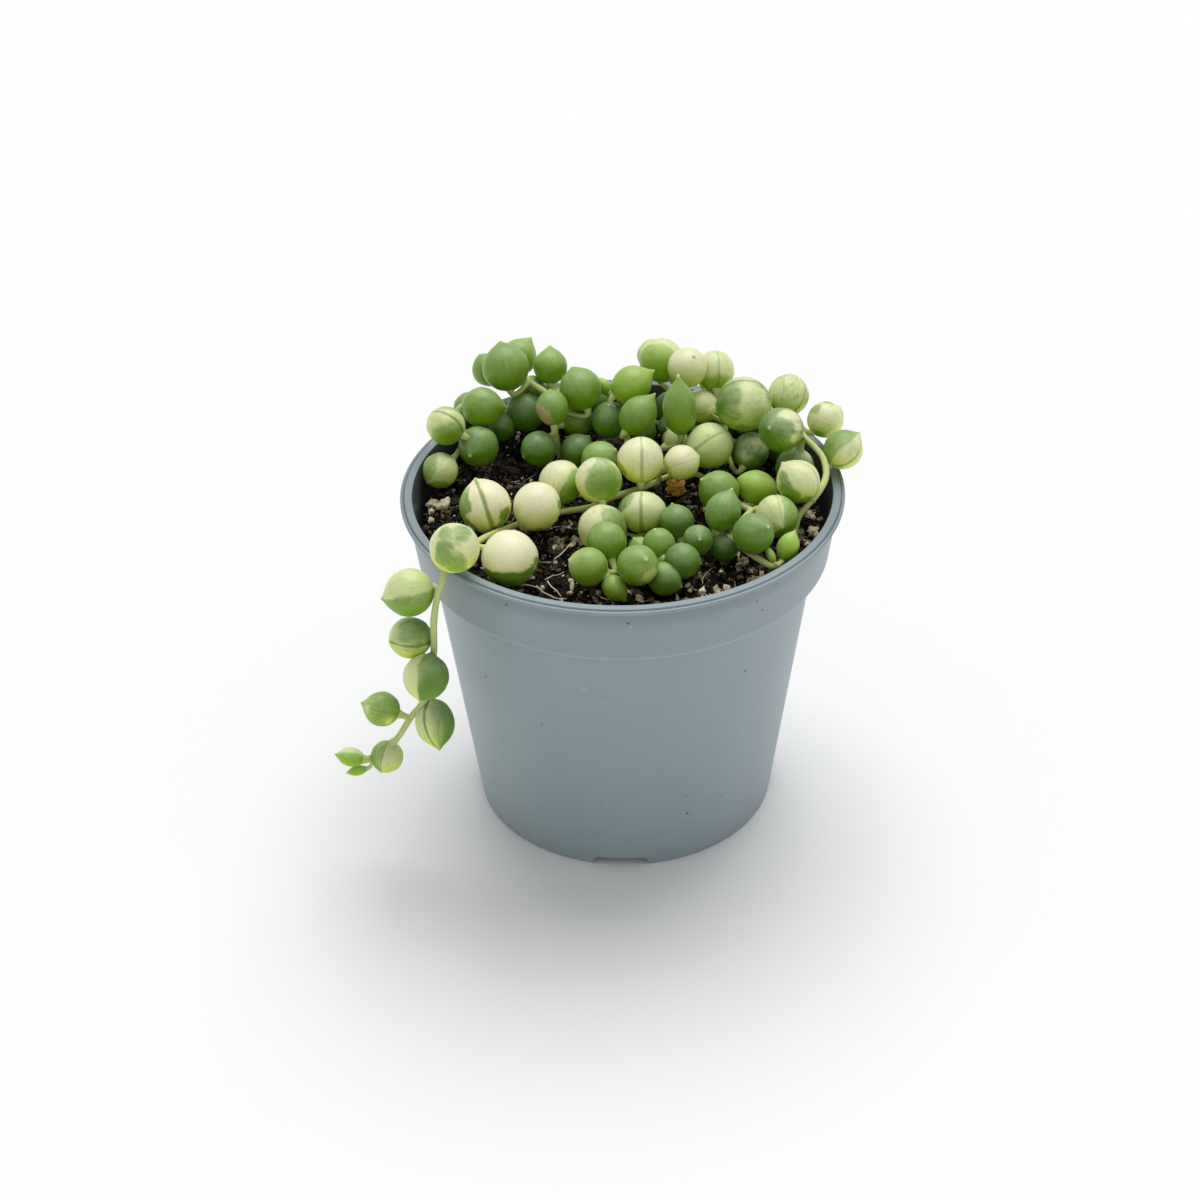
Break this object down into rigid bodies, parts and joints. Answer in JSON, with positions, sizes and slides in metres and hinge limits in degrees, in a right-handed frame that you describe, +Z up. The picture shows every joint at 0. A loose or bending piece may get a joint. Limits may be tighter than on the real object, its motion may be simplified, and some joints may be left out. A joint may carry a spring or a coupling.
{
  "type": "potted string of pearls",
  "caption": "Small round nursery pot of soil with variegated string-of-pearls stems heaped on top and one stem hanging over the rim.",
  "frame": {"origin": "centre of the part's box on the surface that the pot stands on, about 3 mm left of the pot's own axis", "axes": "+Z up; -Y is the front, as the picture shows it, with the hanging stem at -X; +X is the widest way"},
  "size_m": [0.0722, 0.0602, 0.0603],
  "materials": {
    "pot_plastic": "satin moulded plastic, blue-grey",
    "peat_soil": "loose dark peat with bark chips and perlite",
    "green_leaf": "waxy green succulent leaf",
    "variegated_leaf": "waxy cream and green variegated succulent leaf"
  },
  "bodies": {
    "root": {"pot": "pot_plastic", "soil": "peat_soil", "trailing_vine": "variegated_leaf", "front_vine": "green_leaf", "front_right_vine": "green_leaf", "right_loop_vine": "variegated_leaf", "back_right_vine": "variegated_leaf", "centre_vine": "green_leaf", "back_left_vine": "green_leaf", "left_vine": "green_leaf", "inner_left_vine": "green_leaf", "rear_vine": "green_leaf"}
  },
  "joints": []
}
